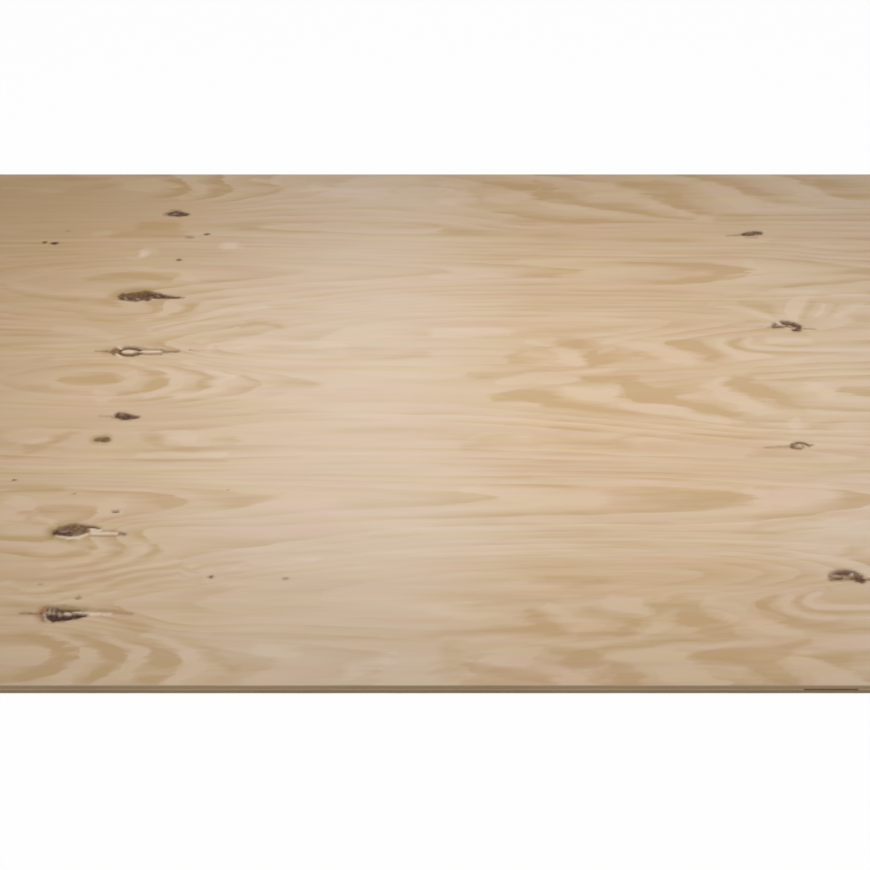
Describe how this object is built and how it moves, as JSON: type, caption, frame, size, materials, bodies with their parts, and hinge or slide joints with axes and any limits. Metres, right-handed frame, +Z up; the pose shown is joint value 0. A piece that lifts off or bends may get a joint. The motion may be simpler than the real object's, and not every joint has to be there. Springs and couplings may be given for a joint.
{
  "type": "plywood sheet",
  "caption": "Flat rectangular softwood plywood sheet with knotty rotary-cut face veneer and square sawn edges, for floors, roofs, walls and shelving.",
  "frame": {"origin": "middle of the back face, on the surface that the sheet lies on", "axes": "+X along the length and the face grain, +Y across the width, +Z up through the thickness to the face veneer"},
  "size_m": [2.438, 1.219, 0.0183],
  "materials": {
    "pine_veneer": "sanded pine veneer, unfinished"
  },
  "bodies": {
    "root": {"plywood_sheet": "pine_veneer"}
  },
  "joints": []
}
